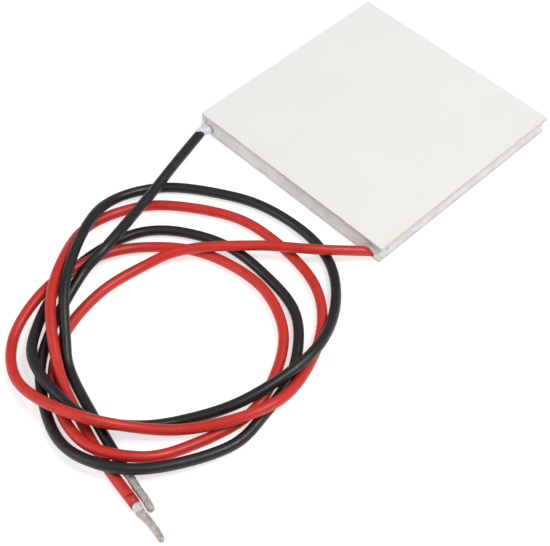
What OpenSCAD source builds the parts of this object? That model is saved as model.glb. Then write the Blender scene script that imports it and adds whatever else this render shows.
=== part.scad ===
// Thermoelectric cooling module: two ceramic plates with rows of semiconductor
// couples soldered between them, a silicone seal round the edge, and two
// insulated leads with tinned ends, lying in loose loops beside the module.
// Millimetres, +Z up, origin at the middle of the underside of the module.
// The leads leave the -Y edge: black at -X, red at +X.

/* [Plates] */
// Length of each ceramic plate, along X
plate_l = 40; // [24:0.5:62]
// Width of each ceramic plate, along Y
plate_w = 40; // [24:0.5:62]
// Thickness of each ceramic plate
plate_thk = 0.75; // [0.5:0.05:1.2]
// Clear height between the two plates
gap_h = 2.1; // [1.7:0.05:4]
// How far the hot plate was set down to -X of the cold one
plate_slip = 0.25; // [0:0.05:0.5]
// Length of the ground-off corner of a plate
corner_cut = 0.3; // [0.1:0.05:1]

/* [Couples] */
// Side of one square semiconductor leg
leg_w = 1.4; // [0.8:0.05:1.8]
// Distance from one leg to the next
leg_pitch = 2.35; // [1.9:0.05:3.2]
// Thickness of a copper tab
tab_thk = 0.3; // [0.15:0.05:0.45]
// How far a tab reaches past the sides of its legs
tab_lip = 0.1; // [0:0.02:0.18]
// Thickness of the solder between a tab and a leg
solder_thk = 0.1; // [0.05:0.01:0.15]

/* [Seal] */
// Width of the silicone seal
seal_w = 1.1; // [0.6:0.05:2]
// How far the seal stands back from the edges of the plates
seal_inset = 0.25; // [0.1:0.05:0.8]
// Outer corner radius of the seal
seal_r = 0.8; // [0.3:0.05:2]
// Room between the seal and the nearest copper tab
seal_room = 0.1; // [0.05:0.05:0.5]

/* [Leads] */
// Diameter over the insulation of a lead
wire_d = 1.6; // [1.2:0.05:1.6]
// Diameter of the tinned strands inside a lead
strands_d = 1.0; // [0.6:0.05:1.2]
// Diameter of the solder bead on a terminal tab
bead_d = 1.56; // [1.3:0.02:1.8]
// Diameter of the sealant dab at the black lead
black_dab_d = 1.9; // [1.6:0.05:2]
// How far the middle of that dab lies behind the start of the insulation
black_dab_back = 1; // [1:0.05:1.2]
// Diameter of the sealant collar at the red lead
red_dab_d = 1.5; // [1.3:0.05:1.6]

/* [Hidden] */
$fn = 48;

// Levels, from the underside up
hot_top = plate_thk;
cold_under = hot_top + gap_h;
hot_tab_top = hot_top + tab_thk;
cold_tab_under = cold_under - tab_thk;
leg_under = hot_tab_top + solder_thk;
leg_top = cold_tab_under - solder_thk;

// Outline that both plates cover, and the seal within it
shared_l = plate_l - plate_slip;
seal_l = shared_l - 2 * seal_inset;
seal_wy = plate_w - 2 * seal_inset;
inside_l = seal_l - 2 * seal_w;
inside_w = seal_wy - 2 * seal_w;

// Grid of leg places. The current winds up one column and down the next, so
// the number of columns is even and both leads leave at the same edge.
tab_w = leg_w + 2 * tab_lip;
fit_slack = 0.001;
free_l = inside_l - 2 * seal_room - tab_w;
free_w = inside_w - 2 * seal_room - tab_w;
columns = 2 * floor((floor(free_l / leg_pitch + fit_slack) + 1) / 2);
rows = floor(free_w / leg_pitch + fit_slack) + 1;
places = columns * rows;
grid_at = [-(columns - 1) / 2, -(rows - 1) / 2] * leg_pitch;

// Leads. Points are measured from the middle of the -Y edge of the plates.
edge = [0, -plate_w / 2, 0];
strands_lift = 0.05;
lead_z = hot_tab_top + strands_lift + strands_d / 2;
tube_sides = 8;
steps_per_span = 2;
red_collar_l = 0.9;

black_route = [
    [-18, -2, lead_z], [-15, -10.5, 2.5], [-12.5, -18, 2.8], [-8.5, -29.5, 4.2],
    [-8, -35, 2.6], [-4.5, -43.5, 0.9], [1, -50, 1.1], [10, -54.5, 1.2],
    [17.5, -54, 2.6], [23.5, -49, 2.3], [28, -39, 1.4], [27.5, -31.5, 1.2],
    [25, -23.5, 1.2], [18.5, -16.5, 0.9], [10, -14.5, 0.9], [1, -15, 0.9],
    [-7, -19.5, 0.9], [-10.5, -26, 0.9], [-10.5, -36, 0.9], [-5.5, -45.5, 1.5],
    [0.5, -50, 2.7], [11, -50.5, 3], [16.5, -46, 1.4], [20.5, -40, 0.9],
    [24.5, -32.5, 2.3], [26, -22, 3.2], [23, -13.5, 1.7], [17, -7, 0.9],
    [10, -4.5, 1], [1, -5, 0.9], [-6, -8, 1], [-13.5, -13.5, 0.9],
    [-16.5, -21, 1.8], [-14, -28.5, 4.1], [-7.5, -38, 4.7], [-0.5, -44, 2.5],
    [3.5, -46.5, 1], [12, -49, 0.8], [20, -51, 0.8]
];
black_tip = [[21.5, -51.2, 0.8], [23.8, -51.7, 0.7], [25.8, -52, 0.7], [27.8, -52.5, 0.7]];
black_tip_d = [1.3, 1.25, 1.2, 1.15, 1.1];

red_route = [
    [18, -0.4, lead_z], [13, -6.5, 2.8], [6, -12.5, 2.7], [-1, -20.5, 2.4],
    [-4, -27, 1], [-4.5, -35, 1], [-2, -43.5, 1], [4, -50, 0.9],
    [14, -53, 2.6], [21, -49, 2.2], [24, -42.5, 1], [26, -33, 1],
    [23, -24.5, 0.9], [18, -19, 1.1], [10, -16.5, 1.1], [0, -18.5, 0.9],
    [-7, -24.5, 1], [-9.5, -31.5, 2.1], [-9.5, -40.5, 2.7], [-7, -48.5, 1],
    [0, -53, 1.7], [10.5, -52, 4.6], [18, -46, 2.6], [23, -40.5, 2.2],
    [27.5, -33, 3.3], [27.5, -25.5, 2], [23.5, -16.5, 0.9], [17.5, -11, 0.9],
    [9.5, -9, 0.9], [0, -9.5, 0.9], [-8, -14, 1.1], [-13.5, -19.5, 0.9],
    [-15, -28, 2], [-11, -36, 4.1], [-5.5, -42.5, 4.2], [3, -48, 2.2],
    [10.5, -50.5, 1.1], [18.5, -52.5, 0.9], [25.5, -53.5, 0.8]
];
red_tip = [[27, -53.8, 0.8], [28.6, -53.8, 0.7], [30.3, -54, 0.6], [32, -54.4, 0.6]];
red_tip_d = [1.5, 1.4, 1.1, 1.05, 0.9];

// ---- Helpers ----

function unit(v) = v / norm(v);

// Leg places in the order in which the current meets them
function place(n) =
    let (column = floor(n / rows), step = n % rows)
    let (row = column % 2 == 0 ? step : rows - 1 - step)
    grid_at + [column, row] * leg_pitch;

// Middle of the bare strands over leg place n
function seat_of(n) = [place(n).x, place(n).y, lead_z];

// A smooth line through the points, as Catmull-Rom spans
function span(a, b, c, d, t) =
    0.5 * (2 * b + (c - a) * t + (2 * a - 5 * b + 4 * c - d) * t * t
        + (3 * b - a - 3 * c + d) * t * t * t);
function beyond(a, b) = 2 * a - b;
function padded(p) =
    let (last = len(p) - 1)
    concat([beyond(p[0], p[1])], p, [beyond(p[last], p[last - 1])]);
function smooth_line(p) =
    let (q = padded(p))
    concat(
        [for (i = [1 : len(q) - 3], k = [0 : steps_per_span - 1])
            span(q[i - 1], q[i], q[i + 1], q[i + 2], k / steps_per_span)],
        [p[len(p) - 1]]
    );

// Direction of the line at its point i. The first one is given.
function heading(line, i, first) =
    i == 0 ? first
        : i == len(line) - 1 ? unit(line[i] - line[i - 1])
        : unit(line[i + 1] - line[i - 1]);
function ring(centre, along, d) =
    let (side = unit(cross(along, [0, 0, 1])), up = cross(side, along))
    [for (k = [0 : tube_sides - 1])
        let (a = 360 * (k + 0.5) / tube_sides)
        centre + d / 2 * (cos(a) * side + sin(a) * up)];

// A closed tube along the line from its point i0 to its point i1. Each point
// of the line has its own diameter in d.
module tube(line, i0, i1, first, d) {
    rings = i1 - i0 + 1;
    points = [for (i = [i0 : i1]) each ring(line[i], heading(line, i, first), d[i - i0])];
    sides = [for (r = [0 : rings - 2], k = [0 : tube_sides - 1])
        let (next = (k + 1) % tube_sides, a = r * tube_sides, b = a + tube_sides)
        [a + k, b + k, b + next, a + next]];
    start_cap = [[for (k = [0 : tube_sides - 1]) k]];
    end_cap = [[for (k = [tube_sides - 1 : -1 : 0]) (rings - 1) * tube_sides + k]];
    polyhedron(points, concat(sides, start_cap, end_cap), convexity = 10);
}

// A round bar from a to b
module bar(a, b, d) {
    v = b - a;
    translate(a)
        rotate([0, acos(v.z / norm(v)), atan2(v.y, v.x)])
            cylinder(d = d, h = norm(v));
}

module plate(centre_x) {
    l = plate_l / 2;
    w = plate_w / 2;
    c = corner_cut;
    translate([centre_x, 0, 0])
        linear_extrude(plate_thk)
            polygon([[-l + c, -w], [l - c, -w], [l, -w + c], [l, w - c],
                [l - c, w], [-l + c, w], [-l, w - c], [-l, -w + c]]);
}

// One block over leg places n and n + 1, as a tab or its solder
module over_two(n, z, thk) {
    low = [min(place(n).x, place(n + 1).x), min(place(n).y, place(n + 1).y)];
    high = [max(place(n).x, place(n + 1).x), max(place(n).y, place(n + 1).y)];
    translate([low.x - tab_w / 2, low.y - tab_w / 2, z])
        cube([high.x - low.x + tab_w, high.y - low.y + tab_w, thk]);
}

module leg_pad(n, z, thk) {
    translate([place(n).x - leg_w / 2, place(n).y - leg_w / 2, z])
        cube([leg_w, leg_w, thk]);
}

// Bare strands from the terminal tab to the start of the insulation
module black_strands_form() {
    bar(seat_of(0), edge + black_route[0], strands_d);
}

module red_strands_form() {
    bar(seat_of(places - 1), edge + red_route[0], strands_d);
}

module bead(at) {
    difference() {
        translate([at.x, at.y, hot_tab_top + 0.35])
            sphere(d = bead_d);
        translate([at.x - bead_d, at.y - bead_d, hot_tab_top - bead_d])
            cube([2 * bead_d, 2 * bead_d, bead_d]);
        black_strands_form();
        red_strands_form();
    }
}

// ---- Plates ----

module cold_plate() {
    color("#ecebe7")
        translate([0, 0, cold_under])
            plate(plate_slip / 2);
}

module hot_plate() {
    color("#e6e4df")
        plate(-plate_slip / 2);
}

// ---- Couples ----

module hot_tabs() {
    color("#b87333")
        for (n = [2 : 2 : places - 4])
            over_two(n, hot_top, tab_thk);
}

module negative_terminal_tab() {
    color("#b87333")
        over_two(0, hot_top, tab_thk);
}

module positive_terminal_tab() {
    color("#b87333")
        over_two(places - 2, hot_top, tab_thk);
}

module cold_tabs() {
    color("#b87333")
        for (n = [1 : 2 : places - 3])
            over_two(n, cold_tab_under, tab_thk);
}

// Solder covers a whole tab, except at the two ends of the chain, where the
// leads have beads of their own
module hot_solder() {
    color("#c8c8c4") {
        for (n = [2 : 2 : places - 4])
            over_two(n, hot_tab_top, solder_thk);
        leg_pad(1, hot_tab_top, solder_thk);
        leg_pad(places - 2, hot_tab_top, solder_thk);
    }
}

module cold_solder() {
    color("#c8c8c4")
        for (n = [1 : 2 : places - 3])
            over_two(n, leg_top, solder_thk);
}

module p_legs() {
    color("#5c5e63")
        for (n = [1 : 2 : places - 3])
            leg_pad(n, leg_under, leg_top - leg_under);
}

module n_legs() {
    color("#6e6a66")
        for (n = [2 : 2 : places - 2])
            leg_pad(n, leg_under, leg_top - leg_under);
}

// ---- Seal ----

module seal_outline() {
    square([seal_l - 2 * seal_r, seal_wy], center = true);
    square([seal_l, seal_wy - 2 * seal_r], center = true);
    for (x = [-1, 1], y = [-1, 1])
        translate([x * (seal_l / 2 - seal_r), y * (seal_wy / 2 - seal_r)])
            circle(r = seal_r);
}

module perimeter_seal() {
    color("#d9d5d2")
        difference() {
            translate([0, 0, hot_top])
                linear_extrude(gap_h)
                    difference() {
                        seal_outline();
                        square([inside_l, inside_w], center = true);
                    }
            black_strands_form();
            red_strands_form();
        }
}

// ---- Leads ----

module black_inner_strands() {
    color("#b9b4ae")
        black_strands_form();
}

module red_inner_strands() {
    color("#b9b4ae")
        red_strands_form();
}

module negative_lead_solder() {
    color("#bfc0c0")
        bead(place(0));
}

module positive_lead_solder() {
    color("#bfc0c0")
        bead(place(places - 1));
}

// The dab fills the space between the plate edge and the black insulation
module black_exit_sealant() {
    at = (edge + black_route[0]) + black_dab_back * unit(seat_of(0) - edge - black_route[0]);
    color("#d3d6dd")
        difference() {
            translate(at)
                sphere(d = black_dab_d);
            black_strands_form();
        }
}

// A collar on the bare strands, from the red insulation to the seal's face
module red_exit_sealant() {
    start = edge + red_route[0];
    back = unit(seat_of(places - 1) - start);
    color("#d9d5d2")
        difference() {
            bar(start, start + red_collar_l * back, red_dab_d);
            bar(start - back, start + 2 * back, strands_d);
            translate([start.x - 2, edge.y + seal_inset, hot_top])
                cube([4, 2, gap_h]);
        }
}

// Insulation from the end of the bare strands that come from seat
module insulation(route, tip, seat) {
    line = [for (p = smooth_line(concat(route, tip))) edge + p];
    last = (len(route) - 1) * steps_per_span;
    tube(line, 0, last, unit(line[0] - seat), [for (i = [0 : last]) wire_d]);
}

// Tinned strands past the end of the insulation, thinner towards the tip
module tinned_end(route, tip, tip_d) {
    line = [for (p = smooth_line(concat(route, tip))) edge + p];
    first = (len(route) - 1) * steps_per_span;
    last = first + len(tip) * steps_per_span;
    d = [for (i = [0 : last - first])
        let (k = floor(i / steps_per_span), t = i / steps_per_span - k)
        t == 0 ? tip_d[k] : tip_d[k] * (1 - t) + tip_d[k + 1] * t];
    tube(line, first, last, [0, 0, 0], d);
}

module black_insulation() {
    color("#232327")
        insulation(black_route, black_tip, seat_of(0));
}

module red_insulation() {
    color("#d7322d")
        insulation(red_route, red_tip, seat_of(places - 1));
}

module black_tinned_end() {
    color("#aaa19b")
        tinned_end(black_route, black_tip, black_tip_d);
}

module red_tinned_end() {
    color("#aaa19b")
        tinned_end(red_route, red_tip, red_tip_d);
}

cold_plate();
hot_plate();
cold_tabs();
hot_tabs();
negative_terminal_tab();
positive_terminal_tab();
cold_solder();
hot_solder();
n_legs();
p_legs();
perimeter_seal();
negative_lead_solder();
positive_lead_solder();
black_inner_strands();
red_inner_strands();
black_exit_sealant();
red_exit_sealant();
black_insulation();
red_insulation();
black_tinned_end();
red_tinned_end();
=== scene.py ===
"""Thermoelectric cooling module: looks for the CAD model, laid out as an add-on."""
import math

import bmesh
import bpy
from bpy.props import FloatProperty, FloatVectorProperty, IntProperty, PointerProperty
from mathutils import Matrix, Vector, noise
from mathutils.geometry import interpolate_bezier


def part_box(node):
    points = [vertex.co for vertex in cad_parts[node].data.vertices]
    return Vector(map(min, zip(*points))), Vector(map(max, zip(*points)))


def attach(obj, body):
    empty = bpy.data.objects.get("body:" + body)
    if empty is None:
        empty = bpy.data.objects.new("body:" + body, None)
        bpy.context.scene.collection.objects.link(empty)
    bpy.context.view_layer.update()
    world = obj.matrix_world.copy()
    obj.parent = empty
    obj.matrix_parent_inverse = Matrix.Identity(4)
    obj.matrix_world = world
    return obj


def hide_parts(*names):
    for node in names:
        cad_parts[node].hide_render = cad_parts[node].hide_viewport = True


bl_info = {
    "name": "Cooling Module",
    "version": (1, 0, 0),
    "blender": (4, 5, 0),
    "location": "View3D > Sidebar > Module",
    "description": "Ceramic cooling module with seal, sealant and two loose leads",
    "category": "Add Mesh",
}

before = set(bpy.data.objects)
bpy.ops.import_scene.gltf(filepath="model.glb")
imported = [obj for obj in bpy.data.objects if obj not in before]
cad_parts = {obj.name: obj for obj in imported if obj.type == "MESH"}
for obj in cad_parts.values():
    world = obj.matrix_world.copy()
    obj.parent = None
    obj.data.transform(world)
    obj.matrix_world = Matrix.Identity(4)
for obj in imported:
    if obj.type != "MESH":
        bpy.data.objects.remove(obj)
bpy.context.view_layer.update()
PLATE_LOW, PLATE_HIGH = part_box("cold_plate")
BASE_LOW, BASE_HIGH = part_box("hot_plate")
SEAL_LOW, SEAL_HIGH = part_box("perimeter_seal")
MM = 0.001
EDGE_Y = BASE_LOW.y / MM
LEAD_Z = 1.6

# Routes of the leads, in millimetres from the middle of the -Y edge
BLACK_ROUTE = [
    (-18, -2, LEAD_Z), (-15, -10.5, 2.5), (-12.5, -18, 2.8), (-8.5, -29.5, 4.2),
    (-8, -35, 2.6), (-4.5, -43.5, 0.9), (1, -50, 1.1), (10, -54.5, 1.2),
    (17.5, -54, 2.6), (23.5, -49, 2.3), (28, -39, 1.4), (27.5, -31.5, 1.2),
    (25, -23.5, 1.2), (18.5, -16.5, 0.9), (10, -14.5, 0.9), (1, -15, 0.9),
    (-7, -19.5, 0.9), (-10.5, -26, 0.9), (-10.5, -36, 0.9), (-5.5, -45.5, 1.5),
    (0.5, -50, 2.7), (11, -50.5, 3), (16.5, -46, 1.4), (20.5, -40, 0.9),
    (24.5, -32.5, 2.3), (26, -22, 3.2), (23, -13.5, 1.7), (17, -7, 0.9),
    (10, -4.5, 1), (1, -5, 0.9), (-6, -8, 1), (-13.5, -13.5, 0.9),
    (-16.5, -21, 1.8), (-14, -28.5, 4.1), (-7.5, -38, 4.7), (-0.5, -44, 2.5),
    (3.5, -46.5, 1), (12, -49, 0.8), (20, -51, 0.8),
]
BLACK_TIP = [(21.5, -51.2, 0.8), (23.8, -51.7, 0.7), (25.8, -52, 0.7), (27.8, -52.5, 0.7)]
RED_ROUTE = [
    (18, -0.4, LEAD_Z), (13, -6.5, 2.8), (6, -12.5, 2.7), (-1, -20.5, 2.4),
    (-4, -27, 1), (-4.5, -35, 1), (-2, -43.5, 1), (4, -50, 0.9),
    (14, -53, 2.6), (21, -49, 2.2), (24, -42.5, 1), (26, -33, 1),
    (23, -24.5, 0.9), (18, -19, 1.1), (10, -16.5, 1.1), (0, -18.5, 0.9),
    (-7, -24.5, 1), (-9.5, -31.5, 2.1), (-9.5, -40.5, 2.7), (-7, -48.5, 1),
    (0, -53, 1.7), (10.5, -52, 4.6), (18, -46, 2.6), (23, -40.5, 2.2),
    (27.5, -33, 3.3), (27.5, -25.5, 2), (23.5, -16.5, 0.9), (17.5, -11, 0.9),
    (9.5, -9, 0.9), (0, -9.5, 0.9), (-8, -14, 1.1), (-13.5, -19.5, 0.9),
    (-15, -28, 2), (-11, -36, 4.1), (-5.5, -42.5, 4.2), (3, -48, 2.2),
    (10.5, -50.5, 1.1), (18.5, -52.5, 0.9), (25.5, -53.5, 0.8),
]
RED_TIP = [(27, -53.8, 0.8), (28.6, -53.8, 0.7), (30.3, -54, 0.6), (32, -54.4, 0.6)]
ROUTES = {
    "black": (BLACK_ROUTE, BLACK_TIP),
    "red": (RED_ROUTE, RED_TIP),
}
# The way that the slanted ends of the insulation lean
ACROSS = Vector((-0.55, 0.56, 0.62))

# The ring of silicone between the plates, in metres
RING_WIDTH = 0.0011
RING_CORNER = 0.0006
RING_CUTS = 150
RING_LAYERS = 10
INNER_MARGIN = 0.0009

# The camera: its angles in degrees, its place in millimetres
LENS = 85.09
CAMERA_TURN, CAMERA_RISE, CAMERA_ROLL = 44.71, 51.87, 0.96
CAMERA_PLACE = (95.5, -118.8, 154.4)


# ---------------------------------------------------------------- settings

def length_prop(name, about, value):
    return FloatProperty(
        name=name, description=about, default=value, subtype="DISTANCE", unit="LENGTH", precision=5,
    )


def colour_prop(name, about, value):
    return FloatVectorProperty(
        name=name, description=about, default=value, subtype="COLOR", size=3, min=0, max=1,
    )


class ModuleSettings(bpy.types.PropertyGroup):
    ceramic: colour_prop("Ceramic", "Colour of the two plates", (0.80, 0.79, 0.77))
    # Painted shade: the darker colour laid on the plates' upright sides stands in for the shade that falls on
    # them
    plate_side_shade: colour_prop("Plate side", "Colour of the plates' sawn sides", (0.58, 0.54, 0.525))
    stain: colour_prop("Stain", "Colour of the faint flux stain on the cold plate", (0.80, 0.72, 0.50))
    silicone: colour_prop("Silicone", "Colour of the edge seal", (0.74, 0.71, 0.695))
    dab: colour_prop("Sealant dab", "Colour of the sealant at the black lead", (0.72, 0.76, 0.84))
    plate_bevel: length_prop("Plate bevel", "Softening of the plates' edges", 0.00006)
    seal_bump: length_prop("Seal unevenness", "How far the seal's face wanders in and out", 0.00012)


class LeadSettings(bpy.types.PropertyGroup):
    black: colour_prop("Black insulation", "Colour of the black lead", (0.008, 0.008, 0.009))
    red: colour_prop("Red insulation", "Colour of the red lead", (0.60, 0.020, 0.012))
    tin: colour_prop("Tinned strands", "Colour of the tinned wire ends", (0.58, 0.53, 0.49))
    diameter: length_prop("Lead diameter", "Diameter over the insulation", 0.0016)
    sides: IntProperty(name="Sides", description="Sides of a lead's round section", default=24, min=8, max=48)


# ---------------------------------------------------------------- materials

class Nodes:
    """Short hand for the nodes of one material."""

    def __init__(self, name):
        self.mat = bpy.data.materials.new(name)
        self.mat.use_nodes = True
        self.tree = self.mat.node_tree
        self.tree.nodes.clear()
        self.out = self.tree.nodes.new("ShaderNodeOutputMaterial")
        self.shader = self.tree.nodes.new("ShaderNodeBsdfPrincipled")
        self.link(self.shader.outputs[0], self.out.inputs[0])
        self.coords = self.tree.nodes.new("ShaderNodeTexCoord").outputs["Object"]

    def link(self, a, b):
        self.tree.links.new(a, b)

    def put(self, value, socket):
        if isinstance(value, bpy.types.NodeSocket):
            self.link(value, socket)
        elif isinstance(value, (tuple, list)) and len(value) == 3 and socket.type == "RGBA":
            socket.default_value = (*value, 1)
        else:
            socket.default_value = value

    def noise(self, scale, detail=3, rough=0.55, vector=None, distortion=0):
        n = self.tree.nodes.new("ShaderNodeTexNoise")
        n.inputs["Scale"].default_value = scale
        n.inputs["Detail"].default_value = detail
        n.inputs["Roughness"].default_value = rough
        n.inputs["Distortion"].default_value = distortion
        self.link(vector or self.coords, n.inputs["Vector"])
        return n.outputs["Fac"]

    def mapping(self, location=(0, 0, 0), turn=(0, 0, 0), scale=(1, 1, 1), vector=None):
        n = self.tree.nodes.new("ShaderNodeMapping")
        n.inputs["Location"].default_value = location
        n.inputs["Rotation"].default_value = turn
        n.inputs["Scale"].default_value = scale
        self.link(vector or self.coords, n.inputs["Vector"])
        return n.outputs[0]

    def math(self, kind, a, b=0.0, c=0.0):
        n = self.tree.nodes.new("ShaderNodeMath")
        n.operation = kind
        for value, socket in zip((a, b, c), n.inputs):
            self.put(value, socket)
        return n.outputs[0]

    def step(self, value, low, high, to_low=0.0, to_high=1.0):
        n = self.tree.nodes.new("ShaderNodeMapRange")
        n.interpolation_type = "SMOOTHSTEP"
        self.put(value, n.inputs["Value"])
        n.inputs["From Min"].default_value = low
        n.inputs["From Max"].default_value = high
        n.inputs["To Min"].default_value = to_low
        n.inputs["To Max"].default_value = to_high
        return n.outputs["Result"]

    def spot(self, centre, radius, ragged=0.0, scale=2500, squash=(1, 1, 1), turn=0.0):
        """1 at the centre of a blot, 0 outside it. Sizes are in metres."""
        far = self.tree.nodes.new("ShaderNodeVectorMath")
        far.operation = "LENGTH"
        place = self.mapping(tuple(-c for c in centre))
        place = self.mapping(turn=(0, 0, -turn), vector=place)
        place = self.mapping(scale=tuple(1 / (radius * s) for s in squash), vector=place)
        self.link(place, far.inputs[0])
        reach = far.outputs["Value"]
        if ragged:
            wander = self.math("SUBTRACT", self.noise(scale, 3), 0.5)
            reach = self.math("MULTIPLY_ADD", wander, ragged * 2, reach)
        return self.step(reach, 0.55, 1.0, 1.0, 0.0)

    def mix(self, fac, a, b):
        n = self.tree.nodes.new("ShaderNodeMix")
        n.data_type = "RGBA"
        self.put(fac, n.inputs[0])
        self.put(a, n.inputs[6])
        self.put(b, n.inputs[7])
        return n.outputs[2]

    def bump(self, height, distance, strength):
        n = self.tree.nodes.new("ShaderNodeBump")
        n.inputs["Strength"].default_value = strength
        n.inputs["Distance"].default_value = distance
        self.link(height, n.inputs["Height"])
        self.link(n.outputs[0], self.shader.inputs["Normal"])

    def xyz(self, vector=None):
        n = self.tree.nodes.new("ShaderNodeSeparateXYZ")
        self.link(vector or self.coords, n.inputs[0])
        return n.outputs

    def side_mask(self):
        """1 on faces that stand upright, 0 on level ones."""
        n = self.tree.nodes.new("ShaderNodeNewGeometry")
        level = self.math("ABSOLUTE", self.xyz(n.outputs["Normal"])[2])
        return self.step(level, 0.35, 0.8, 1.0, 0.0)

    def set(self, **values):
        for key, value in values.items():
            self.put(value, self.shader.inputs[key.replace("_", " ")])


def darker(colour, by):
    return tuple(c * by for c in colour)


def seam_smear(m, tint):
    """Dark brownish streaks and a grey speck at the seam just under the cold plate's edge, near the red lead.
    """
    smear = m.spot((0.0174, -0.0199, 0.0029), 0.0009, 0.5, 3000, squash=(1.6, 1, 0.45))
    tint = m.mix(m.math("MULTIPLY", smear, 0.55), tint, (0.20, 0.09, 0.06))
    trail = m.spot((0.0190, -0.0199, 0.0029), 0.0010, 0.4, 3000, squash=(1.5, 1, 0.22))
    tint = m.mix(m.math("MULTIPLY", trail, 0.6), tint, (0.16, 0.09, 0.07))
    speck = m.spot((0.0198, -0.0182, 0.0021), 0.0006, 0.4, 3000)
    return m.mix(m.math("MULTIPLY", speck, 0.5), tint, (0.22, 0.22, 0.23))


def ceramic_material(name, colour, side, stain=None):
    m = Nodes(name)
    cloud = m.noise(70, 4, 0.6)
    tint = m.mix(m.step(cloud, 0.35, 0.7), darker(colour, 0.985), colour)
    fine = m.noise(9000, 2)
    tint = m.mix(m.step(fine, 0.6, 0.8, 0, 0.05), tint, darker(colour, 0.8))
    if stain is not None:
        top = PLATE_HIGH.z
        near = m.spot((0.0197, -0.0160, top), 0.0040, 0.35, 500, squash=(0.35, 1, 1))
        tint = m.mix(m.math("MULTIPLY", near, 0.30), tint, stain)
        scuff = m.spot((0.0171, -0.0078, top), 0.0008, 0.5, 2500, squash=(0.6, 1, 1))
        tint = m.mix(m.math("MULTIPLY", scuff, 0.10), tint, (0.55, 0.52, 0.47))
    # Painted shade: the upright sides of both plates are turned 75 to 100 percent towards the side colour, in
    # a mottle, to stand in for the shade on them
    side_shade_mottle = m.step(m.noise(330, 4, 0.6), 0.3, 0.72, 0.75, 1.0)
    tint = m.mix(m.math("MULTIPLY", m.side_mask(), side_shade_mottle), tint, side)
    tint = seam_smear(m, tint)
    m.set(Base_Color=tint, Roughness=m.step(cloud, 0.3, 0.7, 0.5, 0.62), Specular_IOR_Level=0.3)
    m.bump(m.math("ADD", m.math("MULTIPLY", fine, 0.4), m.noise(2500, 3)), 0.000012, 0.6)
    return m.mat


def silicone_material(name, colour, rough=0.42):
    m = Nodes(name)
    cloud = m.noise(420, 4, 0.6)
    tint = m.mix(m.step(cloud, 0.35, 0.68), darker(colour, 0.86), colour)
    tint = seam_smear(m, tint)
    m.set(Base_Color=tint, Roughness=rough, Specular_IOR_Level=0.5)
    m.bump(m.noise(1300, 3), 0.00006, 0.7)
    return m.mat


def insulation_material(name, colour, scuff_colour, scuff=0.2, rough=0.4, crease_shades=()):
    m = Nodes(name)
    cloud = m.noise(160, 4, 0.6)
    tint = m.mix(m.step(cloud, 0.35, 0.7), darker(colour, 0.85), colour)
    specks = m.step(m.noise(2600, 2, 0.5), 0.70, 0.78, 0, scuff)
    smudge = m.step(m.noise(700, 4, 0.7, distortion=0.6), 0.60, 0.80, 0, scuff * 0.7)
    tint = m.mix(m.math("MAXIMUM", specks, smudge), tint, scuff_colour)
    # Painted shade: at each listed crease the insulation's own colour is darkened to 16 percent; the tube
    # itself is not dented there
    for centre, radius in crease_shades:
        crease_shade = m.spot(centre, radius, 0.5, 2200, squash=(0.35, 1.2, 1.2), turn=-0.3)
        tint = m.mix(m.math("MULTIPLY", crease_shade, 0.8), tint, darker(colour, 0.16))
    sheen = m.step(m.noise(500, 3), 0.3, 0.75, rough, rough + 0.14)
    m.set(Base_Color=tint, Roughness=sheen, Specular_IOR_Level=0.5)
    m.bump(m.math("ADD", m.noise(380, 2), m.math("MULTIPLY", m.noise(3000, 2), 0.25)), 0.00005, 0.6)
    return m.mat


def metal_material(name, colour, rough, metallic=0.85):
    m = Nodes(name)
    cloud = m.noise(1500, 4, 0.65)
    tint = m.mix(m.step(cloud, 0.35, 0.7), darker(colour, 0.65), colour)
    m.set(Base_Color=tint, Metallic=metallic, Roughness=m.step(cloud, 0.3, 0.7, rough, rough + 0.2))
    m.bump(m.noise(3500, 3), 0.00003, 0.6)
    return m.mat


def crystal_material(name, colour):
    m = Nodes(name)
    grain = m.noise(5200, 3, 0.6, vector=m.mapping(scale=(1, 1, 0.25)))
    tint = m.mix(m.step(grain, 0.35, 0.7), darker(colour, 0.7), colour)
    m.set(Base_Color=tint, Metallic=0.7, Roughness=m.step(grain, 0.3, 0.7, 0.35, 0.6))
    m.bump(grain, 0.00002, 0.6)
    return m.mat


# ---------------------------------------------------------------- helpers

def paint(obj, material):
    obj.data.materials.clear()
    obj.data.materials.append(material)


def new_piece(name, bm, material, smooth=True):
    mesh = bpy.data.meshes.new(name)
    bmesh.ops.recalc_face_normals(bm, faces=bm.faces)
    for face in bm.faces:
        face.smooth = smooth
    bm.to_mesh(mesh)
    bm.free()
    obj = bpy.data.objects.new(name, mesh)
    bpy.context.scene.collection.objects.link(obj)
    paint(obj, material)
    return obj


def finish_piece(obj, node):
    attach(obj, "root")
    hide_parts(node)


def lead_points(name):
    """The whole lead, insulation and tip, in metres, and how many points the insulation has."""
    route, tip = ROUTES[name]
    points = [Vector((x, EDGE_Y + y, z)) * MM for x, y, z in route + tip]
    return points, len(route)


def spline_curve(name, points, tangents, width, radii=None):
    """A curve of one open Bezier spline through the points."""
    curve = bpy.data.curves.new(name, "CURVE")
    curve.dimensions = "3D"
    curve.resolution_u = 8
    curve.twist_mode = "MINIMUM"
    curve.use_fill_caps = True
    curve.bevel_depth = width / 2
    spline = curve.splines.new("BEZIER")
    spline.bezier_points.add(len(points) - 1)
    for i, (knot, point, tangent) in enumerate(zip(spline.bezier_points, points, tangents)):
        knot.handle_left_type = knot.handle_right_type = "FREE"
        knot.co = point
        knot.handle_left = point - tangent / 3
        knot.handle_right = point + tangent / 3
        knot.radius = radii[i] if radii else 1.0
    return curve


def tangents_of(points):
    first = 2 * points[0] - points[1]
    last = 2 * points[-1] - points[-2]
    padded = [first, *points, last]
    return [(padded[i + 2] - padded[i]) / 2 for i in range(len(points))]


# ---------------------------------------------------------------- operators

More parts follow.
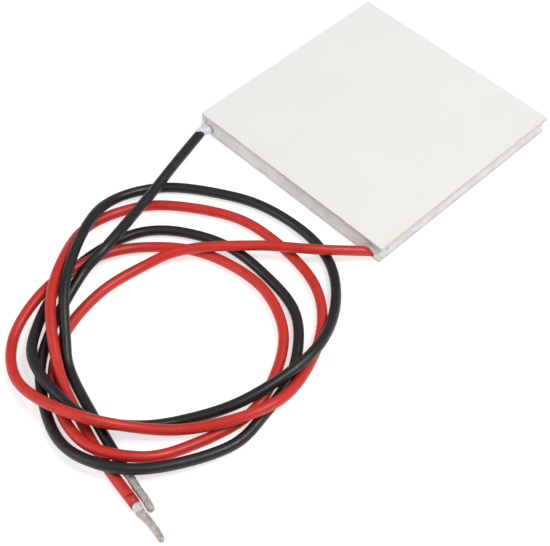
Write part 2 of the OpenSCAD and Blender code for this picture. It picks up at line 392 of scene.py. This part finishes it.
class MODULE_OT_camera(bpy.types.Operator):
    """Set up the camera"""
    bl_idname = "module.camera"
    bl_label = "Camera"

    def execute(self, context):
        data = bpy.data.cameras.new("camera")
        data.sensor_width = 36
        data.lens = LENS
        data.clip_start = 0.005
        data.clip_end = 10
        cam = bpy.data.objects.new("camera", data)
        context.scene.collection.objects.link(cam)
        turn, rise, roll = (math.radians(a) for a in (CAMERA_TURN, CAMERA_RISE, CAMERA_ROLL))
        back = Vector((math.sin(turn) * math.cos(rise), -math.cos(turn) * math.cos(rise), math.sin(rise)))
        right = (-back).cross(Vector((0, 0, 1))).normalized()
        up = right.cross(-back)
        right, up = (
            right * math.cos(roll) + up * math.sin(roll),
            up * math.cos(roll) - right * math.sin(roll),
        )
        place = Matrix((right, up, back)).transposed().to_4x4()
        place.translation = Vector(CAMERA_PLACE) * MM
        cam.matrix_world = place
        context.scene.camera = cam
        return {"FINISHED"}


def sampled(points, tangents, steps=8):
    """Points along the smooth line through the given ones."""
    line = []
    for i in range(len(points) - 1):
        leave = points[i] + tangents[i] / 3
        arrive = points[i + 1] - tangents[i + 1] / 3
        line += interpolate_bezier(points[i], leave, arrive, points[i + 1], steps + 1)[:-1]
    return line + [points[-1]]


def as_bmesh(obj):
    """The finished shape of an object as a merged bmesh. The object itself is removed."""
    bpy.context.view_layer.update()
    mesh = bpy.data.meshes.new_from_object(obj.evaluated_get(bpy.context.evaluated_depsgraph_get()))
    bpy.data.objects.remove(obj)
    bm = bmesh.new()
    bm.from_mesh(mesh)
    bpy.data.meshes.remove(mesh)
    bmesh.ops.remove_doubles(bm, verts=bm.verts, dist=0.000002)
    bm.normal_update()
    return bm


def make_insulation(name, settings, material, slant=0.0, far_slant=0.0):
    """A lead's insulation, with each of its ends cut at a slant."""
    points, count = lead_points(name)
    points, tangents = points[:count], tangents_of(points)[:count]
    curve = spline_curve(f"{name}_line", points, tangents, settings.diameter)
    curve.bevel_resolution = settings.sides // 4 - 1
    obj = bpy.data.objects.new(f"{name}_line", curve)
    bpy.context.scene.collection.objects.link(obj)
    bm = as_bmesh(obj)
    for vert in bm.verts:
        vert.co += vert.normal * 0.000018 * noise.noise(vert.co * 230)
    for end, tangent, amount in ((points[0], tangents[0], slant), (points[-1], tangents[-1], far_slant)):
        along = tangent.normalized()
        lift = (ACROSS - ACROSS.dot(along) * along).normalized()
        for vert in bm.verts:
            out = vert.co - end
            if out.length < 0.0035:
                fade = max(0.0, 1 - abs(out.dot(along)) / 0.0025)
                vert.co += along * amount * fade * out.dot(lift) / (settings.diameter / 2)
    return new_piece(f"{name}_lead_insulation", bm, material)


class MODULE_OT_black_lead(bpy.types.Operator):
    """Make the black lead's insulation"""
    bl_idname = "module.black_lead"
    bl_label = "Black lead"

    def execute(self, context):
        settings = context.scene.lead_settings
        scuffs = (0.30, 0.29, 0.28)
        material = insulation_material("black_insulation", tuple(settings.black), scuffs, 0.10, 0.36)
        obj = make_insulation("black", settings, material, -0.0002)
        finish_piece(obj, "black_insulation")
        return {"FINISHED"}


class MODULE_OT_red_lead(bpy.types.Operator):
    """Make the red lead's insulation"""
    bl_idname = "module.red_lead"
    bl_label = "Red lead"

    def execute(self, context):
        settings = context.scene.lead_settings
        scuffs = (0.75, 0.36, 0.33)
        # Places and sizes of the painted crease shade on the red lead
        crease_shades = (
            ((0.0243, EDGE_Y * MM - 0.0532, 0.0014), 0.0008),
            ((0.0250, EDGE_Y * MM - 0.0531, 0.0012), 0.0006),
            ((0.0180, EDGE_Y * MM - 0.0004, 0.0009), 0.0007),
        )
        material = insulation_material("red_insulation", tuple(settings.red), scuffs, 0.20, 0.38, crease_shades)
        obj = make_insulation("red", settings, material, 0.0008, -0.00045)
        finish_piece(obj, "red_insulation")
        return {"FINISHED"}


def strand_section(name, width, lobes=7):
    """A closed lobed outline for stranded wire, as a flat curve."""
    curve = bpy.data.curves.new(name, "CURVE")
    curve.dimensions = "2D"
    steps = lobes * 6
    spline = curve.splines.new("POLY")
    spline.points.add(steps - 1)
    for i, point in enumerate(spline.points):
        a = 2 * math.pi * i / steps
        r = width / 2 * (0.92 + 0.08 * abs(math.cos(lobes * a / 2)))
        point.co = (r * math.cos(a), r * math.sin(a), 0, 1)
    spline.use_cyclic_u = True
    obj = bpy.data.objects.new(name, curve)
    bpy.context.scene.collection.objects.link(obj)
    return obj


def make_tip(name, material, widths, twist):
    """Twisted tinned strands past the end of the insulation."""
    points, count = lead_points(name)
    part = points[count - 1:]
    slopes = tangents_of(points)[count - 1:]
    section = strand_section(f"{name}_section", MM)
    curve = spline_curve(f"{name}_tip_line", part, slopes, 0, widths)
    curve.bevel_mode = "OBJECT"
    curve.bevel_object = section
    for i, knot in enumerate(curve.splines[0].bezier_points):
        knot.tilt = twist * i
    line = bpy.data.objects.new(f"{name}_tip_line", curve)
    bpy.context.scene.collection.objects.link(line)
    bm = as_bmesh(line)
    bpy.data.objects.remove(section)
    end, along = part[-1], slopes[-1].normalized()
    for vert in bm.verts:
        vert.co += vert.normal * 0.00004 * noise.noise(vert.co * 1300)
        left = 0.0005 + (vert.co - end).dot(along)
        if left > 0:
            centre = end + along * (vert.co - end).dot(along)
            vert.co = centre + (vert.co - centre) * math.sqrt(max(0.05, 1 - (left / 0.00055) ** 2))
    return new_piece(f"{name}_tinned_strands", bm, material)


def make_flux_collar(name, material):
    """The cloudy collar of flux where the red lead's strands begin."""
    y, z = EDGE_Y - 53.6, 0.85
    return blob(name, material, 0.00007, (
        ((25.9, y, z), (0.55, 0.72, 0.70)), ((26.5, y - 0.12, z), (0.60, 0.70, 0.66)),
        ((27.3, y - 0.2, z - 0.05), (0.55, 0.60, 0.60)), ((27.9, y - 0.2, z - 0.1), (0.40, 0.55, 0.52)),
    ))


class MODULE_OT_tinned_ends(bpy.types.Operator):
    """Make the tinned ends and the flux collar"""
    bl_idname = "module.tinned_ends"
    bl_label = "Tinned ends"

    def execute(self, context):
        settings = context.scene.lead_settings
        material = metal_material("tinned_strands", tuple(settings.tin), 0.42, 0.45)
        flux = silicone_material("flux_collar", (0.66, 0.64, 0.62), 0.3)
        collar = make_flux_collar("red_tail_collar", flux)
        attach(collar, "root")
        for name, widths, twist in (
            ("black", (1.3, 1.25, 1.2, 1.15, 1.1), 1.9),
            ("red", (1.35, 1.3, 1.1, 1.05, 0.9), 1.5),
        ):
            tip = make_tip(name, material, widths, twist)
            finish_piece(tip, f"{name}_tinned_end")
            points, count = lead_points(name)
            sampled(points[:count], tangents_of(points)[:count])
        return {"FINISHED"}


def make_plate(node, material, bevel):
    """A ceramic plate with softened, slightly ragged edges."""
    low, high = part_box(node)
    bm = bmesh.new()
    bmesh.ops.create_cube(bm, size=1)
    bmesh.ops.scale(bm, vec=high - low, verts=bm.verts)
    bmesh.ops.translate(bm, vec=(high + low) / 2, verts=bm.verts)
    upright = [e for e in bm.edges if abs(e.verts[0].co.z - e.verts[1].co.z) > bevel]
    bmesh.ops.bevel(bm, geom=upright, offset=0.00015, segments=2, profile=0.5, affect="EDGES", material=-1)
    level = [e for e in bm.edges if abs(e.verts[0].co.z - e.verts[1].co.z) < bevel and e.calc_length() > 0.01]
    bmesh.ops.subdivide_edges(bm, edges=level, cuts=110)
    rims = [e for e in bm.edges if len(e.link_faces) == 2 and e.calc_face_angle(0) > 1.2]
    bmesh.ops.bevel(bm, geom=rims, offset=bevel, segments=2, profile=0.5, affect="EDGES", material=-1)
    middle = (high + low) / 2
    for vert in bm.verts:
        inward = Vector((middle.x - vert.co.x, middle.y - vert.co.y, 0)).normalized()
        ragged = noise.noise(vert.co * 900) + 0.6 * noise.noise(vert.co * 2600)
        chip = max(0.0, noise.noise(vert.co * 420 + Vector((7, 3, 0))) - 0.33)
        vert.co += inward * (0.00002 * ragged + 0.00030 * chip)
    return new_piece(f"{node}_ceramic", bm, material, smooth=False)


class MODULE_OT_plates(bpy.types.Operator):
    """Finish the two ceramic plates"""
    bl_idname = "module.plates"
    bl_label = "Ceramic plates"

    def execute(self, context):
        s = context.scene.module_settings
        cold = ceramic_material("cold_ceramic", tuple(s.ceramic), tuple(s.plate_side_shade), tuple(s.stain))
        hot = ceramic_material("hot_ceramic", tuple(s.ceramic), tuple(s.plate_side_shade))
        for name, material, slot in (("cold_plate", cold, "cold_ceramic"), ("hot_plate", hot, "hot_ceramic")):
            plate = make_plate(name, material, s.plate_bevel)
            finish_piece(plate, name)
        return {"FINISHED"}


class MODULE_OT_couples(bpy.types.Operator):
    """Finish the tabs, solder and legs between the plates"""
    bl_idname = "module.couples"
    bl_label = "Couples"

    def execute(self, context):
        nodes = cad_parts
        copper = metal_material("copper", (0.62, 0.28, 0.15), 0.35, 1.0)
        solder = metal_material("solder", (0.60, 0.60, 0.60), 0.35, 1.0)
        n_type = crystal_material("n_semiconductor", (0.22, 0.21, 0.19))
        p_type = crystal_material("p_semiconductor", (0.17, 0.18, 0.20))
        strands = metal_material("bare_strands", (0.55, 0.52, 0.49), 0.4, 0.9)
        for names, material in (
            (("cold_tabs", "hot_tabs", "negative_terminal_tab", "positive_terminal_tab"), copper),
            (("cold_solder", "hot_solder", "negative_lead_solder", "positive_lead_solder"), solder),
            (("n_legs",), n_type),
            (("p_legs",), p_type),
            (("black_inner_strands", "red_inner_strands"), strands),
        ):
            for name in names:
                paint(nodes[name], material)
        return {"FINISHED"}


def make_seal(material, bump):
    """The silicone ring: squeezed out further at the hot plate than at the cold one."""
    bm = bmesh.new()
    size = SEAL_HIGH - SEAL_LOW
    centre = (SEAL_HIGH + SEAL_LOW) / 2
    bmesh.ops.create_grid(bm, x_segments=1, y_segments=1, size=0.5)
    bmesh.ops.scale(bm, vec=(size.x, size.y, 1), verts=bm.verts)
    bmesh.ops.translate(bm, vec=(centre.x, centre.y, SEAL_LOW.z), verts=bm.verts)
    bmesh.ops.bevel(
        bm, geom=bm.verts[:], offset=RING_CORNER, segments=5, profile=0.5, affect="VERTICES", material=-1,
    )
    bmesh.ops.inset_region(
        bm, faces=bm.faces[:], thickness=RING_WIDTH, use_even_offset=True, use_boundary=True,
    )
    core = min(bm.faces, key=lambda f: f.calc_center_median().length)
    bmesh.ops.delete(bm, geom=[core], context="FACES_ONLY")
    sides = [e for e in bm.edges if e.is_boundary and e.calc_length() > 0.01]
    bmesh.ops.subdivide_edges(bm, edges=sides, cuts=RING_CUTS)
    top = bm.faces[:]
    for layer in range(RING_LAYERS):
        grown = bmesh.ops.extrude_face_region(bm, geom=top, use_keep_orig=True)["geom"]
        # Past the first layer, the faces left behind would lie inside the ring
        if layer > 0:
            bmesh.ops.delete(bm, geom=top, context="FACES")
        top = [g for g in grown if isinstance(g, bmesh.types.BMFace)]
        lifted = [g for g in grown if isinstance(g, bmesh.types.BMVert)]
        bmesh.ops.translate(bm, vec=(0, 0, size.z / RING_LAYERS), verts=lifted)
    bmesh.ops.recalc_face_normals(bm, faces=bm.faces)
    bm.normal_update()
    face_x, face_y = size.x / 2 - INNER_MARGIN, size.y / 2 - INNER_MARGIN
    for vert in bm.verts:
        if abs(vert.co.x - centre.x) < face_x and abs(vert.co.y - centre.y) < face_y:
            continue
        rise = (vert.co.z - SEAL_LOW.z) / size.z
        push = 0.00010 + 0.00024 * (1 - rise) ** 1.2
        push += bump * (noise.noise(Vector((vert.co.x, vert.co.y, vert.co.z * 0.7)) * 420) - 0.15)
        push += bump * 0.6 * noise.noise(vert.co * 1400)
        away = Vector((vert.normal.x, vert.normal.y, 0))
        if away.length > 0.2:
            vert.co += away.normalized() * push
    return new_piece("edge_seal", bm, material)


def blob(name, material, voxel, balls):
    """A soft lump of sealant made of balls that run into each other. Sizes are in millimetres."""
    bm = bmesh.new()
    for centre, radii in balls:
        grown = bmesh.ops.create_icosphere(bm, subdivisions=3, radius=1)["verts"]
        bmesh.ops.scale(bm, vec=Vector(radii) * MM, verts=grown)
        bmesh.ops.translate(bm, vec=Vector(centre) * MM, verts=grown)
    obj = new_piece(f"{name}_rough", bm, material)
    remesh = obj.modifiers.new("melt", "REMESH")
    remesh.mode = "VOXEL"
    remesh.voxel_size = voxel
    smooth = obj.modifiers.new("settle", "SMOOTH")
    smooth.iterations = 8
    bm = as_bmesh(obj)
    floor, ceiling = BASE_HIGH.z + 0.00001, PLATE_LOW.z - 0.00001
    for vert in bm.verts:
        vert.co += vert.normal * 0.00009 * noise.noise(vert.co * 1100)
        inside = vert.co.y > BASE_LOW.y and vert.co.x > BASE_LOW.x
        if inside:
            vert.co.z = min(max(vert.co.z, floor), ceiling)
        vert.co.z = max(vert.co.z, 0.00005)
    return new_piece(name, bm, material)


class MODULE_OT_seal(bpy.types.Operator):
    """Make the silicone seal and the sealant at the leads"""
    bl_idname = "module.seal"
    bl_label = "Seal and sealant"

    def execute(self, context):
        s = context.scene.module_settings
        silicone = silicone_material("seal_silicone", tuple(s.silicone))
        dab = silicone_material("dab_silicone", tuple(s.dab))
        seal = make_seal(silicone, s.seal_bump)
        finish_piece(seal, "perimeter_seal")
        z = LEAD_Z
        black = blob("black_lead_sealant", dab, 0.00007, (
            ((-18.05, EDGE_Y - 1.85, z + 0.25), (0.75, 0.75, 0.72)),
            ((-18.15, EDGE_Y - 2.25, z + 0.45), (0.55, 0.65, 0.50)),
            ((-17.95, EDGE_Y - 1.2, z), (0.70, 0.70, 0.70)),
            ((-17.8, EDGE_Y - 0.5, z - 0.1), (0.75, 0.80, 0.75)),
        ))
        finish_piece(black, "black_exit_sealant")
        corner = blob("corner_sealant", silicone, 0.00008, (
            ((-19.2, EDGE_Y + 0.3, z + 0.55), (0.75, 0.55, 0.75)),
            ((-19.3, EDGE_Y + 0.25, z - 0.25), (0.65, 0.50, 0.75)),
            ((-18.3, EDGE_Y + 0.15, z - 0.3), (0.80, 0.50, 0.65)),
            ((-17.3, EDGE_Y + 0.10, z - 0.75), (1.00, 0.42, 0.50)),
            ((-16.2, EDGE_Y + 0.15, z - 0.85), (0.90, 0.30, 0.35)),
        ))
        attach(corner, "root")
        red = blob("red_lead_sealant", silicone, 0.00007, (
            ((18.1, EDGE_Y + 0.1, z), (0.95, 0.55, 0.95)),
            ((18.9, EDGE_Y + 0.15, z - 0.1), (0.75, 0.45, 0.95)),
            ((17.3, EDGE_Y + 0.2, z - 0.2), (0.85, 0.40, 0.80)),
            ((19.4, EDGE_Y + 0.45, z - 0.1), (0.45, 0.45, 0.90)),
        ))
        finish_piece(red, "red_exit_sealant")
        return {"FINISHED"}


class MODULE_OT_stage(bpy.types.Operator):
    """Set up the floor, the world and the studio lights"""
    bl_idname = "module.stage"
    bl_label = "Stage"

    def execute(self, context):
        bm = bmesh.new()
        bmesh.ops.create_grid(bm, x_segments=1, y_segments=1, size=1.5)
        m = Nodes("floor")
        m.set(Base_Color=(0.60, 0.60, 0.60), Roughness=0.9, Specular_IOR_Level=0.1)
        m.set(Emission_Color=(1, 1, 1), Emission_Strength=0.62)
        floor = new_piece("floor", bm, m.mat, False)
        world = bpy.data.worlds.new("studio")
        world.use_nodes = True
        world.node_tree.nodes["Background"].inputs["Color"].default_value = (1, 1, 1, 1)
        world.node_tree.nodes["Background"].inputs["Strength"].default_value = 0.40
        context.scene.world = world
        for name, place, size, power in (
            ("key", (0.28, 0.16, 0.60), 0.30, 3.0),
            ("fill", (-0.20, -0.50, 0.34), 0.50, 1.3),
        ):
            light = bpy.data.lights.new(name, "AREA")
            light.size = size
            light.energy = power
            obj = bpy.data.objects.new(name, light)
            obj.location = place
            obj.rotation_euler = (-Vector(place)).to_track_quat("-Z", "Y").to_euler()
            context.scene.collection.objects.link(obj)
        context.scene.view_settings.view_transform = "Standard"
        return {"FINISHED"}


OPERATORS = (
    MODULE_OT_camera, MODULE_OT_black_lead, MODULE_OT_red_lead, MODULE_OT_tinned_ends,
    MODULE_OT_plates, MODULE_OT_couples, MODULE_OT_seal, MODULE_OT_stage,
)


class MODULE_PT_panel(bpy.types.Panel):
    """Lists the steps that make the module"""
    bl_idname = "MODULE_PT_panel"
    bl_label = "Cooling module"
    bl_space_type = "VIEW_3D"
    bl_region_type = "UI"
    bl_category = "Module"

    def draw(self, context):
        for operator in OPERATORS:
            self.layout.operator(operator.bl_idname)


CLASSES = (ModuleSettings, LeadSettings, *OPERATORS, MODULE_PT_panel)


def register():
    for cls in CLASSES:
        bpy.utils.register_class(cls)
    bpy.types.Scene.module_settings = PointerProperty(type=ModuleSettings)
    bpy.types.Scene.lead_settings = PointerProperty(type=LeadSettings)


def unregister():
    del bpy.types.Scene.lead_settings
    del bpy.types.Scene.module_settings
    for cls in reversed(CLASSES):
        bpy.utils.unregister_class(cls)


def main():
    register()
    bpy.ops.module.camera()
    bpy.ops.module.black_lead()
    bpy.ops.module.red_lead()
    bpy.ops.module.tinned_ends()
    bpy.ops.module.plates()
    bpy.ops.module.couples()
    bpy.ops.module.seal()
    bpy.ops.module.stage()


if __name__ == "__main__":
    main()
